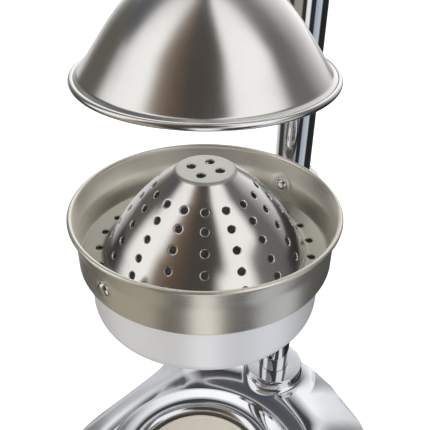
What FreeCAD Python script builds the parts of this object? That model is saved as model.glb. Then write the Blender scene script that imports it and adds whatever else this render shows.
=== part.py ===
"""Lever citrus press: a cast base, a column with a cup holder, a lifting press cone and a lever head.

Millimetres, +Z up. The origin is on the table, straight under the axis of the strainer and press cone.
The column stands behind that axis, on +Y. The press cone is modelled raised, with the lever back.
"""
import FreeCAD, Part
import math
import os

V = FreeCAD.Vector
AXIS_X = V(1, 0, 0)
AXIS_Y = V(0, 1, 0)
AXIS_Z = V(0, 0, 1)

# Main heights and places
RIM_Z = 258.0             # top of the juice basket's rim above the table
COLUMN_Y = 110.0          # column axis behind the press axis
COLUMN_R = 12.5
COLUMN_WALL = 2.0
SLIP = 0.05               # radial clearance of a running or slip fit
GAP = 0.3                 # clearance between pieces that only pass each other

# Base
BASE_BOTTOM_Z = 3.0
BASE_TOP_Z = 21.0
BASE_EDGE_R = 14.0        # rounding of the base's upper edge
BASE_WALL = 10.0
BASE_HOLLOW_Z = 9.0       # ceiling of the hollow under the base
HUB_TOP_Z = 29.0
HUB_R = 27.0
HUB_EDGE_R = 4.0          # rounding of the hub's shoulder
COLLAR_THICKNESS = 4.0
COLUMN_SEAT_Z = 17.0
PAD_Y = -7.0              # centre of the glass pad
PAD_R = 49.0
PAD_TOP_Z = 21.0
PAD_THICKNESS = 5.5
RECESS_R = 51.0
RING_CREST_R = 58.0
RING_CREST_Z = 27.5
RING_OUTER_R = 77.0
CREASE_DEPTH = 3.0        # how far the crease round the ring lies below the base's top
FOOT_R = 13.0
FOOT_SPOTS = [(-88.0, -68.0), (88.0, -68.0), (-72.0, 84.0), (72.0, 84.0)]
# Right half of the base's plan, from the back to the front: x, y, corner radius
BASE_HALF_PLAN = [(34.0, 144.0, 100.0), (97.0, 107.0, 30.0), (112.0, -97.0, 42.0)]

# Juice cup on its holder
CUP_R = 66.0
CUP_WALL = 2.0
CUP_TOP_Z = RIM_Z - 30.3
CUP_FLOOR_Z = RIM_Z - 64.0
SPOUT_R = 11.0
SPOUT_END_Z = RIM_Z - 88.0
CLAMP_R = 20.0
CLAMP_BOTTOM_Z = CUP_FLOOR_Z + 1.0
CLAMP_TOP_Z = CUP_TOP_Z - 1.0

# Juice basket
BASKET_RIM_R = 75.0
BASKET_R = 71.4
BASKET_SHEET = 1.0
BASKET_FLOOR_Z = RIM_Z - 30.0
BASKET_SPIGOT_R = 63.7
RIVET_TURN = -10.0        # how far the rivets stand turned from the front, in degrees
RIVET_Z = RIM_Z - 17.5

# Strainer cone
STRAINER_TOP_Z = RIM_Z + 21.8
STRAINER_TOP_R = 15.8      # corner between the flat top and the flank
STRAINER_FLOOR_Z = RIM_Z - 27.7
STRAINER_R = 69.8
STRAINER_SHEET = 1.0
HOLE_R = 2.0
HOLE_COLUMNS = 16
# Flank rows of holes: radius from the axis, height above the rim
HOLE_ROWS = [(27.3, 11.8), (34.4, 4.1), (41.1, -3.9), (47.4, -12.2), (53.4, -20.7)]
FLANK_ANGLE = 50.0        # mean slope of the flank, in degrees
FLOOR_HOLES = 24
FLOOR_HOLE_RING_R = 60.4
TOP_HOLE_RING_R = 8.1
TOP_HOLE_R = 2.5
TOP_HOLES = 4
TOP_HOLE_TURN = 17.4      # first top hole's place round the axis, in degrees

# Press cone
CONE_FOOT_Z = RIM_Z + 73.6
CONE_R = 64.8
CONE_BEAD_R = 1.5
CONE_TOP_Z = RIM_Z + 126.5
CONE_SHEET = 1.2

# Gear and rack
MODULE = 2.0
TEETH = 28
PRESSURE_ANGLE = math.radians(20.0)
PITCH_R = MODULE * TEETH / 2.0
BACKLASH = 0.2            # taken off each tooth's thickness
GEAR_WIDTH = 14.0
LEVER_SWEEP = math.pi
TRAVEL = PITCH_R * LEVER_SWEEP
RACK_HALF = 8.0           # half width of the square rack bar
RACK_PITCH_Y = RACK_HALF - MODULE
GEAR_Y = RACK_PITCH_Y + PITCH_R
SHAFT_R = 7.0

# Head
HEAD_BOTTOM_Z = 404.0
HEAD_TOP_Z = 486.0
HEAD_HALF = 22.0
GEAR_Z = (HEAD_BOTTOM_Z + HEAD_TOP_Z) / 2.0
CHAMBER_R = 32.0
COVER_R = 38.0
COVER_THICKNESS = 6.0
CHAMBER_RIGHT_X = 9.0
BUSH_HALF = 11.5
BUSH_LENGTH = 14.0
BUSH_FLANGE = 3.0
SHAFT_BUSH_R = 10.0

# Lever
LEVER_BACK_ANGLE = 38.0   # the raised lever's lean behind the vertical, in degrees
LEVER_X = 36.0
LEVER_HUB_R = 16.0
LEVER_HUB_HALF = 10.0
LEVER_ROD_R = 6.0
LEVER_LENGTH = 222.0
GRIP_START = 128.0
GRIP_END = 242.0


# ---------------------------------------------------------------- helpers

def cylinder(radius, z0, z1, x=0.0, y=0.0):
    return Part.makeCylinder(radius, z1 - z0, V(x, y, z0))


def tube(outer, inner, z0, z1, x=0.0, y=0.0):
    return cylinder(outer, z0, z1, x, y).cut(cylinder(inner, z0 - 1.0, z1 + 1.0, x, y))


def cross_cylinder(radius, x0, x1, y, z):
    """A cylinder along X."""
    return Part.makeCylinder(radius, x1 - x0, V(x0, y, z), AXIS_X)


def block(x0, x1, y0, y1, z0, z1):
    return Part.makeBox(x1 - x0, y1 - y0, z1 - z0, V(x0, y0, z0))


def fuse_all(shapes):
    joined = shapes[0].multiFuse(shapes[1:])
    return joined.removeSplitter()


def round_corner(before, corner, after, radius):
    """Start, middle and end of the arc that rounds a corner of a flat path."""
    to_before = (before - corner).normalize()
    to_after = (after - corner).normalize()
    half = to_before.getAngle(to_after) / 2.0
    reach = radius / math.tan(half)
    bisector = (to_before + to_after).normalize()
    middle = corner + bisector * (radius / math.sin(half) - radius)
    return corner + to_before * reach, middle, corner + to_after * reach


def rounded_edges(corners, radii, closed=False):
    """Lines and tangent arcs along a list of corner points."""
    count = len(corners)
    arcs = {}
    for i in range(count):
        inside = closed or 0 < i < count - 1
        if inside and radii[i] > 0.0:
            arcs[i] = round_corner(corners[i - 1], corners[i], corners[(i + 1) % count], radii[i])
    edges = []
    for i in range(count if closed else count - 1):
        j = (i + 1) % count
        start = arcs[i][2] if i in arcs else corners[i]
        end = arcs[j][0] if j in arcs else corners[j]
        if (end - start).Length > 1e-4:
            edges.append(Part.LineSegment(start, end).toShape())
        if j in arcs:
            edges.append(Part.Arc(*arcs[j]).toShape())
    return edges


def offset_path(corners, radii, distance):
    """The same path moved to its right by a distance, with the corner radii to match."""
    shifted = []
    for a, b in zip(corners, corners[1:]):
        along = (b - a).normalize()
        right = V(-along.z, 0, along.x) * -distance
        shifted.append((a + right, b + right))
    points = [shifted[0][0]]
    new_radii = [0.0]
    for i in range(1, len(shifted)):
        p, q = shifted[i - 1]
        s, t = shifted[i]
        d1 = q - p
        d2 = t - s
        cross = d1.x * d2.z - d1.z * d2.x
        k = ((s.x - p.x) * d2.z - (s.z - p.z) * d2.x) / cross
        points.append(p + d1 * k)
        new_radii.append(radii[i] + (distance if cross > 0 else -distance))
    points.append(shifted[-1][1])
    new_radii.append(0.0)
    return points, new_radii


def spun_sheet(path, thickness):
    """Sheet metal turned about Z. path lists radius, height and corner radius along the outer face."""
    corners = [V(r, 0, z) for r, z, bend in path]
    radii = [bend for r, z, bend in path]
    inner_corners, inner_radii = offset_path(corners, radii, thickness)
    outer = rounded_edges(corners, radii)
    inner = rounded_edges(inner_corners, inner_radii)
    ends = [Part.LineSegment(corners[0], inner_corners[0]).toShape()]
    ends.append(Part.LineSegment(corners[-1], inner_corners[-1]).toShape())
    wire = Part.Wire(Part.__sortEdges__(outer + inner + ends))
    return Part.Face(wire).revolve(V(0, 0, 0), AXIS_Z, 360)


def turned(path, x=0.0, y=0.0):
    """A solid turned about a vertical axis, from a closed list of radius, height and corner radius."""
    corners = [V(r, 0, z) for r, z, bend in path]
    radii = [bend for r, z, bend in path]
    face = Part.Face(Part.Wire(rounded_edges(corners, radii, closed=True)))
    solid = face.revolve(V(0, 0, 0), AXIS_Z, 360)
    solid.translate(V(x, y, 0))
    return solid


def stand_along(shape, origin, direction):
    """Turn a shape made along +Z so that it points along a direction from an origin."""
    placed = shape.copy()
    placed.Placement = FreeCAD.Placement(origin, FreeCAD.Rotation(AXIS_Z, direction))
    return placed


def hexagon(across_flats, z0, z1, x=0.0, y=0.0):
    corner_r = across_flats / math.sqrt(3.0)
    points = []
    for i in range(7):
        angle = math.radians(60.0 * i)
        points.append(V(x + corner_r * math.cos(angle), y + corner_r * math.sin(angle), z0))
    return Part.Face(Part.makePolygon(points)).extrude(V(0, 0, z1 - z0))


def square_ring(outer_half, inner_half, z0, z1):
    outer = block(-outer_half, outer_half, -outer_half, outer_half, z0, z1)
    return outer.cut(block(-inner_half, inner_half, -inner_half, inner_half, z0 - 1, z1 + 1))


def save(shape, name):
    shape.exportStep("parts/" + name + ".step")
    print(name, len(shape.Solids), "solids", round(shape.Volume / 1000.0, 2), "cm3", shape.isValid())


# ---------------------------------------------------------------- base

def base_plan(inset, z0, z1):
    """The base's plan, drawn in by an inset and extruded."""
    half = [(V(x - inset, y - math.copysign(inset, y), z0), r - inset) for x, y, r in BASE_HALF_PLAN]
    left = [(V(-p.x, p.y, p.z), r) for p, r in reversed(half)]
    corners = [p for p, r in half + left]
    radii = [r for p, r in half + left]
    wire = Part.Wire(rounded_edges(corners, radii, closed=True))
    return Part.Face(wire).extrude(V(0, 0, z1 - z0))


def base_casting():
    body = base_plan(0.0, BASE_BOTTOM_Z, BASE_TOP_Z)
    top_edges = [e for e in body.Edges if min(v.Z for v in e.Vertexes) > BASE_TOP_Z - 0.01]
    body = body.makeFillet(BASE_EDGE_R, top_edges)
    low = COLUMN_SEAT_Z - 5.0
    crease = BASE_TOP_Z - CREASE_DEPTH
    groove = turned([(RING_OUTER_R, HUB_TOP_Z, 0), (RING_OUTER_R - 4, crease, 0),
                     (RING_OUTER_R + 3, crease, 5), (RING_OUTER_R + 10, HUB_TOP_Z, 0)], 0.0, PAD_Y)
    ring = turned([(RECESS_R, low, 0), (RECESS_R, RING_CREST_Z, 5), (RING_CREST_R + 6, RING_CREST_Z, 10),
                   (RING_OUTER_R, crease, 0), (RING_OUTER_R - 4, low, 0)], 0.0, PAD_Y)
    hub = turned([(0, low, 0), (0, HUB_TOP_Z, 0), (HUB_R, HUB_TOP_Z, HUB_EDGE_R), (HUB_R + 1, BASE_TOP_Z - 1, 7),
                  (HUB_R + 14, BASE_TOP_Z - 1, 0), (HUB_R + 14, low, 0)], 0.0, COLUMN_Y)
    hub = hub.common(base_plan(5.0, low, HUB_TOP_Z))
    pad_floor = PAD_TOP_Z - PAD_THICKNESS
    recess = cylinder(RECESS_R, pad_floor, HUB_TOP_Z, 0.0, PAD_Y)
    hollow = base_plan(BASE_WALL, BASE_BOTTOM_Z - 1, BASE_HOLLOW_Z)
    bosses = [cylinder(FOOT_R + 2, BASE_BOTTOM_Z - 2, BASE_HOLLOW_Z + 1, x, y) for x, y in FOOT_SPOTS]
    bosses.append(cylinder(HUB_R + 2, BASE_BOTTOM_Z - 2, BASE_HOLLOW_Z + 1, 0.0, COLUMN_Y))
    for boss in bosses:
        hollow = hollow.cut(boss)
    casting = fuse_all([body.cut(groove), ring, hub]).cut(recess).cut(hollow)
    casting = casting.cut(cylinder(COLUMN_R + SLIP, COLUMN_SEAT_Z, HUB_TOP_Z + 1, 0.0, COLUMN_Y))
    casting = casting.cut(cylinder(5.3, 0, COLUMN_SEAT_Z + 1, 0.0, COLUMN_Y))
    casting = casting.cut(cylinder(14.0, 0, 13.0, 0.0, COLUMN_Y))
    for x, y in FOOT_SPOTS:
        casting = casting.cut(cylinder(6.1, 0, 8.2, x, y))
        casting = casting.cut(cylinder(2.05, 0, 12.0, x, y))
    return casting


def rubber_foot(x, y):
    foot = turned([(0, 0, 0), (FOOT_R, 0, 1.0), (FOOT_R - 1, BASE_BOTTOM_Z, 0), (6, BASE_BOTTOM_Z, 0),
                   (6, 8.0, 0), (0, 8.0, 0)], x, y)
    foot = foot.cut(cylinder(4.4, -1, 2.4, x, y))
    return foot.cut(cylinder(2.1, 0, 9.0, x, y))


def foot_screw(x, y):
    head = turned([(0, 0.6, 0), (4.0, 0.6, 0.5), (4.0, 2.4, 0), (2.0, 2.4, 0), (2.0, 11.5, 0), (0, 11.5, 0)], x, y)
    slot = block(x - 3.0, x + 3.0, y - 0.5, y + 0.5, 0, 1.4)
    return head.cut(slot)


def glass_pad():
    top = PAD_TOP_Z
    floor = PAD_TOP_Z - PAD_THICKNESS
    return turned([(0, floor, 0), (0, top, 0), (PAD_R, top, 1.6), (PAD_R, floor, 0.6)], 0.0, PAD_Y)


def column_collar():
    bore = COLUMN_R + SLIP
    top = HUB_TOP_Z + COLLAR_THICKNESS
    edge = HUB_R - 2.0
    return turned([(bore, HUB_TOP_Z, 0), (bore, top, 0), (edge, top, 0.8), (edge, HUB_TOP_Z + 1, 0.8),
                   (edge - 3, HUB_TOP_Z + 1, 0), (edge - 3, HUB_TOP_Z, 0)], 0.0, COLUMN_Y)


def column_tube():
    return tube(COLUMN_R, COLUMN_R - COLUMN_WALL, COLUMN_SEAT_Z, HEAD_TOP_Z - 12, 0.0, COLUMN_Y)


def column_tie_rod():
    return cylinder(5.0, 4.5, HEAD_TOP_Z + 10, 0.0, COLUMN_Y)


def tie_rod_washer():
    return tube(10.0, 5.2, 11.5, 13.0, 0.0, COLUMN_Y)


def tie_rod_nut():
    return hexagon(17.0, 4.0, 11.5, 0.0, COLUMN_Y).cut(cylinder(5.02, 0, 12, 0.0, COLUMN_Y))


def column_cap_nut():
    z = HEAD_TOP_Z
    nut = hexagon(17.0, z, z + 8, 0.0, COLUMN_Y)
    dome = Part.makeSphere(7.6, V(0, COLUMN_Y, z + 7)).common(cylinder(9, z + 7, z + 16, 0.0, COLUMN_Y))
    return fuse_all([nut, dome]).cut(cylinder(5.02, z - 1, z + 10.2, 0.0, COLUMN_Y))


# ---------------------------------------------------------------- cup, basket and strainer

def cup_holder():
    top = CUP_TOP_Z
    floor = CUP_FLOOR_Z
    cup = spun_sheet([(SPOUT_R, SPOUT_END_Z, 0), (SPOUT_R, floor - 5, 4.0), (CUP_R, floor, 8.0), (CUP_R, top, 0)],
                     -CUP_WALL)
    arm = block(-10, 10, CUP_R - 6, COLUMN_Y - 5, floor + 6, CLAMP_TOP_Z - 4)
    arm = arm.cut(cylinder(CUP_R - CUP_WALL / 2.0, floor, top))
    clamp = cylinder(CLAMP_R, CLAMP_BOTTOM_Z, CLAMP_TOP_Z, 0.0, COLUMN_Y)
    rims = [e for e in clamp.Edges if isinstance(e.Curve, Part.Circle)]
    clamp = clamp.makeFillet(2.0, rims)
    holder = fuse_all([cup, arm, clamp])
    holder = holder.cut(cylinder(COLUMN_R + SLIP, CLAMP_BOTTOM_Z - 1, CLAMP_TOP_Z + 1, 0.0, COLUMN_Y))
    for z in clamp_screw_heights():
        holder = holder.cut(Part.makeCylinder(3.05, 20, V(0, COLUMN_Y + COLUMN_R, z), AXIS_Y))
    return holder


def clamp_screw_heights():
    middle = (CLAMP_BOTTOM_Z + CLAMP_TOP_Z) / 2.0
    return [middle - 8.0, middle + 8.0]


def holder_clamp_screw(z):
    start = COLUMN_Y + COLUMN_R + 0.02
    shank = Part.makeCylinder(3.0, CLAMP_R - COLUMN_R + 0.5, V(0, start, z), AXIS_Y)
    head = Part.makeCylinder(5.0, 5.0, V(0, COLUMN_Y + CLAMP_R + 0.3, z), AXIS_Y)
    socket = stand_along(hexagon(4.0, 0, 4), V(0, COLUMN_Y + CLAMP_R + 2.3, z), AXIS_Y)
    return shank.fuse(head).cut(socket)


def juice_basket():
    rim = BASKET_RIM_R
    bead = 1.4
    sheet = spun_sheet([(rim - 1.0, RIM_Z - 1.6, 0), (BASKET_R, RIM_Z - 13, 16), (BASKET_R, BASKET_FLOOR_Z, 1.6),
                        (BASKET_SPIGOT_R, BASKET_FLOOR_Z, 0.4), (BASKET_SPIGOT_R, BASKET_FLOOR_Z - 8, 0)],
                       BASKET_SHEET)
    roll = Part.makeTorus(rim - bead, bead, V(0, 0, RIM_Z - bead))
    basket = fuse_all([sheet, roll])
    for turn in (0.0, 180.0):
        basket = basket.cut(rivet_bar(2.02, 20.0, turn))
    return basket


def rivet_bar(radius, length, turn):
    angle = math.radians(RIVET_TURN + turn - 90.0)
    out = V(math.cos(angle), math.sin(angle), 0)
    return Part.makeCylinder(radius, length, out * (BASKET_R - length / 2.0) + V(0, 0, RIVET_Z), out)


def basket_rivet(turn):
    """A rivet with a round-edged head on both faces of the wall, made along Z and laid outwards."""
    inside = BASKET_R - BASKET_SHEET - 0.35
    outside = BASKET_R + 0.05
    head_r = 5.0
    dome = 2.2
    rivet = turned([(0, inside - dome, 0), (head_r, inside - dome, 2.0), (head_r, inside, 0), (2, inside, 0),
                    (2, outside, 0), (head_r, outside, 0), (head_r, outside + dome, 2.0), (0, outside + dome, 0)])
    angle = math.radians(RIVET_TURN + turn - 90.0)
    out = V(math.cos(angle), math.sin(angle), 0)
    return stand_along(rivet, V(0, 0, RIVET_Z), out)


def strainer_cone():
    top = STRAINER_TOP_Z
    floor = STRAINER_FLOOR_Z
    sheet = spun_sheet([(0, top, 0), (STRAINER_TOP_R, top, 2.5), (40.5, RIM_Z + 1.4, 120),
                        (57.4, floor, 4.0), (STRAINER_R, floor, 0)], STRAINER_SHEET)
    slope = math.radians(FLANK_ANGLE)
    drills = []
    for i in range(HOLE_COLUMNS):
        turn = 360.0 * i / HOLE_COLUMNS
        for radius, height in HOLE_ROWS:
            normal = V(math.sin(slope), 0, math.cos(slope))
            start = V(radius, 0, RIM_Z + height) - normal * 4.0
            drill = Part.makeCylinder(HOLE_R, 8.0, start, normal)
            drills.append(drill.rotated(V(0, 0, 0), AXIS_Z, turn))
    for i in range(FLOOR_HOLES):
        angle = 2 * math.pi * (i + 0.5) / FLOOR_HOLES
        x = FLOOR_HOLE_RING_R * math.cos(angle)
        y = FLOOR_HOLE_RING_R * math.sin(angle)
        drills.append(cylinder(HOLE_R, floor - 3, floor + 3, x, y))
    for i in range(TOP_HOLES):
        angle = math.radians(TOP_HOLE_TURN) + 2 * math.pi * i / TOP_HOLES
        drills.append(cylinder(TOP_HOLE_R, top - 3, top + 2, TOP_HOLE_RING_R * math.cos(angle),
                               TOP_HOLE_RING_R * math.sin(angle)))
    return sheet.cut(drills)


# ---------------------------------------------------------------- press

def press_cone():
    foot = CONE_FOOT_Z
    sheet = spun_sheet([(0, CONE_TOP_Z, 0), (15.5, CONE_TOP_Z, 4.0), (38.6, RIM_Z + 107.4, 115),
                        (60.4, RIM_Z + 76.5, 2.5), (CONE_R - 1.6, foot + 1.1, 0)], CONE_SHEET)
    bead = Part.makeTorus(CONE_R - CONE_BEAD_R, CONE_BEAD_R, V(0, 0, foot + 0.4))
    cone = fuse_all([sheet, bead])
    return cone.cut(cylinder(5.05, CONE_TOP_Z - 5, CONE_TOP_Z + 2))


def press_boss():
    z = CONE_TOP_Z
    boss = turned([(0, z, 0), (15.0, z, 1.0), (15.0, z + 5, 3.0), (12.5, z + 13.5, 1.0), (0, z + 13.5, 0)])
    boss = boss.cut(block(-RACK_HALF, RACK_HALF, -RACK_HALF, RACK_HALF, z + 5.5, z + 15))
    return boss.cut(cylinder(5.05, z - 1, z + 7))


def press_nut():
    top = CONE_TOP_Z - CONE_SHEET
    return hexagon(17.0, top - 7, top).cut(cylinder(5.02, top - 8, top + 1))


def rack_bar():
    """Square bar with teeth on its back face, and a round end that holds the cone."""
    pitch = math.pi * MODULE
    rise = math.tan(PRESSURE_ANGLE)
    root_y = RACK_PITCH_Y - 1.25 * MODULE
    bottom = CONE_TOP_Z + 5.5
    top = rack_top()
    half_space_root = pitch / 4 + BACKLASH / 2 - (RACK_PITCH_Y - root_y) * rise
    half_space_tip = pitch / 4 + BACKLASH / 2 + (RACK_HALF - RACK_PITCH_Y) * rise
    first = -2
    last = int(TRAVEL / pitch) + 2
    points = [V(-RACK_HALF, -RACK_HALF, bottom), V(-RACK_HALF, RACK_HALF, bottom)]
    for i in range(first, last + 1):
        middle = GEAR_Z + (i + 0.5) * pitch
        points.append(V(-RACK_HALF, RACK_HALF, middle - half_space_tip))
        points.append(V(-RACK_HALF, root_y, middle - half_space_root))
        points.append(V(-RACK_HALF, root_y, middle + half_space_root))
        points.append(V(-RACK_HALF, RACK_HALF, middle + half_space_tip))
    points.append(V(-RACK_HALF, RACK_HALF, top))
    points.append(V(-RACK_HALF, -RACK_HALF, top))
    points.append(points[0])
    bar = Part.Face(Part.makePolygon(points)).extrude(V(2 * RACK_HALF, 0, 0))
    return fuse_all([bar, cylinder(5.0, CONE_TOP_Z - 9.5, bottom + 1)])


def rack_top():
    return HEAD_TOP_Z + BUSH_FLANGE + TRAVEL + 0.5 + 10.0


def rack_stop_collar():
    z1 = rack_top()
    ring = cylinder(14.0, z1 - 10, z1)
    rims = [e for e in ring.Edges if isinstance(e.Curve, Part.Circle)]
    ring = ring.makeFillet(1.5, rims)
    return ring.cut(block(-RACK_HALF, RACK_HALF, -RACK_HALF, RACK_HALF, z1 - 11, z1 + 1))


# ---------------------------------------------------------------- head

def head_outline():
    """The head's side view: y, z and corner radius."""
    back = COLUMN_Y + 23.0
    return [(-22.0, HEAD_BOTTOM_Z, 12.0), (-22.0, HEAD_TOP_Z, 16.0), (72.0, HEAD_TOP_Z, 30.0),
            (92.0, HEAD_TOP_Z - 8, 30.0), (back, HEAD_TOP_Z, 9.0), (back, HEAD_BOTTOM_Z + 8, 9.0),
            (78.0, HEAD_BOTTOM_Z + 8, 20.0), (66.0, HEAD_BOTTOM_Z, 20.0)]


def head_housing():
    corners = [V(-HEAD_HALF, y, z) for y, z, r in head_outline()]
    radii = [r for y, z, r in head_outline()]
    wire = Part.Wire(rounded_edges(corners, radii, closed=True))
    body = Part.Face(wire).extrude(V(2 * HEAD_HALF, 0, 0))
    sides = [e for e in body.Edges if max(v.X for v in e.Vertexes) - min(v.X for v in e.Vertexes) < 0.01]
    body = body.makeFillet(4.0, sides)
    ring = cross_cylinder(18.0, HEAD_HALF - 1, HEAD_HALF + 1.5, GEAR_Y, GEAR_Z)
    body = fuse_all([body, ring])
    body = body.cut(cross_cylinder(CHAMBER_R, -HEAD_HALF - 1, CHAMBER_RIGHT_X, GEAR_Y, GEAR_Z))
    body = body.cut(cross_cylinder(COVER_R + 0.05, -HEAD_HALF - 1, COVER_THICKNESS - HEAD_HALF, GEAR_Y, GEAR_Z))
    channel = RACK_HALF + 1.0
    body = body.cut(block(-channel, channel, -channel, channel, HEAD_BOTTOM_Z - 1, HEAD_TOP_Z + 1))
    pocket = BUSH_HALF + 0.02
    for z in (HEAD_BOTTOM_Z - 1, HEAD_TOP_Z - BUSH_LENGTH):
        body = body.cut(block(-pocket, pocket, -pocket, pocket, z, z + BUSH_LENGTH + 1))
    body = body.cut(cross_cylinder(SHAFT_BUSH_R + 0.02, 0, HEAD_HALF + 5, GEAR_Y, GEAR_Z))
    body = body.cut(cylinder(COLUMN_R + SLIP, HEAD_BOTTOM_Z - 1, HEAD_TOP_Z - 12, 0.0, COLUMN_Y))
    body = body.cut(cylinder(5.3, HEAD_BOTTOM_Z, HEAD_TOP_Z + 1, 0.0, COLUMN_Y))
    for z in head_screw_heights():
        body = body.cut(Part.makeCylinder(3.05, 40, V(0, COLUMN_Y + COLUMN_R, z), AXIS_Y))
    for y, z in cover_screw_spots():
        body = body.cut(cross_cylinder(1.55, -HEAD_HALF - 1, -6.0, y, z))
    return body


def head_screw_heights():
    return [HEAD_BOTTOM_Z + 24.0, HEAD_BOTTOM_Z + 54.0]


def head_set_screw(z):
    start = COLUMN_Y + COLUMN_R + 0.02
    screw = Part.makeCylinder(3.0, 9.5, V(0, start, z), AXIS_Y)
    socket = stand_along(hexagon(3.0, 0, 4), V(0, start + 6.5, z), AXIS_Y)
    return screw.cut(socket)


def cover_screw_spots():
    spots = []
    for turn in (45.0, 135.0, 225.0, 315.0):
        angle = math.radians(turn)
        spots.append((GEAR_Y + 34.9 * math.cos(angle), GEAR_Z + 34.9 * math.sin(angle)))
    return spots


def head_cover():
    x0 = -HEAD_HALF
    x1 = x0 + COVER_THICKNESS
    plate = cross_cylinder(COVER_R, x0, x1, GEAR_Y, GEAR_Z)
    rim = [e for e in plate.Edges if isinstance(e.Curve, Part.Circle) and e.Vertexes[0].X < x0 + 0.1]
    plate = plate.makeFillet(1.0, rim)
    boss = cross_cylinder(14.0, x1 - 1, -9.0, GEAR_Y, GEAR_Z)
    cover = fuse_all([plate, boss])
    cover = cover.cut(cross_cylinder(SHAFT_BUSH_R + 0.02, x0 - 1, 0, GEAR_Y, GEAR_Z))
    for y, z in cover_screw_spots():
        cover = cover.cut(cross_cylinder(1.6, x0 - 1, x1 + 1, y, z))
        cover = cover.cut(cross_cylinder(2.9, x0 - 1, x0 + 2.0, y, z))
    return cover


def cover_screw(y, z):
    x0 = -HEAD_HALF
    head = cross_cylinder(2.8, x0 - 0.4, x0 + 2.0, y, z)
    shank = cross_cylinder(1.5, x0 + 2.0, -8.0, y, z)
    slot = block(x0 - 1, x0 + 0.5, y - 3, y + 3, z - 0.4, z + 0.4)
    return head.fuse(shank).cut(slot)


def rack_bush_lower():
    z0 = HEAD_BOTTOM_Z
    sleeve = square_ring(BUSH_HALF, RACK_HALF + SLIP, z0, z0 + BUSH_LENGTH)
    lip = square_ring(BUSH_HALF + 3.0, RACK_HALF + SLIP, z0 - BUSH_FLANGE, z0)
    return fuse_all([sleeve, lip])


def rack_bush_upper():
    z1 = HEAD_TOP_Z
    sleeve = square_ring(BUSH_HALF, RACK_HALF + SLIP, z1 - BUSH_LENGTH, z1)
    lip = square_ring(BUSH_HALF + 3.0, RACK_HALF + SLIP, z1, z1 + BUSH_FLANGE)
    return fuse_all([sleeve, lip])


def shaft_bush(x0, x1):
    outer = cross_cylinder(SHAFT_BUSH_R, x0, x1, GEAR_Y, GEAR_Z)
    return outer.cut(cross_cylinder(SHAFT_R + SLIP, x0 - 1, x1 + 1, GEAR_Y, GEAR_Z))


# ---------------------------------------------------------------- gear and lever

def involute_point(radius, base_radius, start_angle, side):
    """A point of an involute flank at a radius, turned to start at an angle."""
    grip = math.acos(min(1.0, base_radius / radius))
    roll = math.tan(grip) - grip
    angle = start_angle + side * roll
    return radius * math.cos(angle), radius * math.sin(angle)


def pinion_gear():
    base_r = PITCH_R * math.cos(PRESSURE_ANGLE)
    tip_r = PITCH_R + MODULE
    root_r = PITCH_R - 1.25 * MODULE
    thickness = math.pi * MODULE / 2 - BACKLASH
    roll_at_pitch = math.tan(PRESSURE_ANGLE) - PRESSURE_ANGLE
    half_base = thickness / (2 * PITCH_R) + roll_at_pitch
    steps = 6
    points = []
    for i in range(TEETH):
        # A gap between teeth faces the rack, which lies on -Y
        middle = math.pi + 2 * math.pi * (i + 0.5) / TEETH
        ramp = [base_r + (tip_r - base_r) * k / steps for k in range(steps + 1)]
        points.append((root_r * math.cos(middle - half_base), root_r * math.sin(middle - half_base)))
        points += [involute_point(r, base_r, middle - half_base, 1) for r in ramp]
        points += [involute_point(r, base_r, middle + half_base, -1) for r in reversed(ramp)]
        points.append((root_r * math.cos(middle + half_base), root_r * math.sin(middle + half_base)))
    corners = [V(-GEAR_WIDTH / 2, GEAR_Y + a, GEAR_Z + b) for a, b in points]
    corners.append(corners[0])
    gear = Part.Face(Part.makePolygon(corners)).extrude(V(GEAR_WIDTH, 0, 0))
    gear = gear.cut(cross_cylinder(SHAFT_R + 0.01, -GEAR_WIDTH, GEAR_WIDTH, GEAR_Y, GEAR_Z))
    return gear.cut(block(-20, 20, GEAR_Y - 2.02, GEAR_Y + 2.02, GEAR_Z, GEAR_Z + SHAFT_R + 2.0))


def pinion_shaft():
    end = LEVER_X + LEVER_HUB_HALF + 1.5
    shaft = cross_cylinder(SHAFT_R, -28.0, end, GEAR_Y, GEAR_Z)
    groove = cross_cylinder(SHAFT_R + 1, -24.6, -23.4, GEAR_Y, GEAR_Z)
    groove = groove.cut(cross_cylinder(SHAFT_R - 1, -25, -23, GEAR_Y, GEAR_Z))
    seat = block(-6.0, 6.0, GEAR_Y - 2.02, GEAR_Y + 2.02, GEAR_Z + SHAFT_R - 2.5, GEAR_Z + SHAFT_R + 1)
    return shaft.cut(groove).cut(seat)


def shaft_key():
    return block(-5.98, 5.98, GEAR_Y - 2.0, GEAR_Y + 2.0, GEAR_Z + SHAFT_R - 2.48, GEAR_Z + SHAFT_R + 1.9)


def shaft_retaining_ring():
    ring = cross_cylinder(10.0, -24.5, -23.5, GEAR_Y, GEAR_Z)
    ring = ring.cut(cross_cylinder(SHAFT_R - 0.98, -25, -23, GEAR_Y, GEAR_Z))
    return ring.cut(block(-26, -22, GEAR_Y - 3, GEAR_Y + 3, GEAR_Z - 12, GEAR_Z - 3))


def lever_direction():
    lean = math.radians(LEVER_BACK_ANGLE)
    return V(0, math.sin(lean), math.cos(lean))


def lever_origin():
    return V(LEVER_X, GEAR_Y, GEAR_Z)


def lever_hub():
    x0 = LEVER_X - LEVER_HUB_HALF
    x1 = LEVER_X + LEVER_HUB_HALF
    hub = cross_cylinder(LEVER_HUB_R, x0, x1, GEAR_Y, GEAR_Z)
    rims = [e for e in hub.Edges if isinstance(e.Curve, Part.Circle)]
    hub = hub.makeFillet(1.5, rims)
    neck = stand_along(cylinder(9.0, 8, LEVER_HUB_R + 8), lever_origin(), lever_direction())
    hub = fuse_all([hub, neck])
    hub = hub.cut(cross_cylinder(SHAFT_R + 0.01, x0 - 1, x1 + 1, GEAR_Y, GEAR_Z))
    hub = hub.cut(stand_along(cylinder(LEVER_ROD_R + 0.02, 10, 40), lever_origin(), lever_direction()))
    return hub.cut(stand_along(cylinder(3.05, 0, 30), lever_origin(), lever_direction() * -1))


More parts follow.
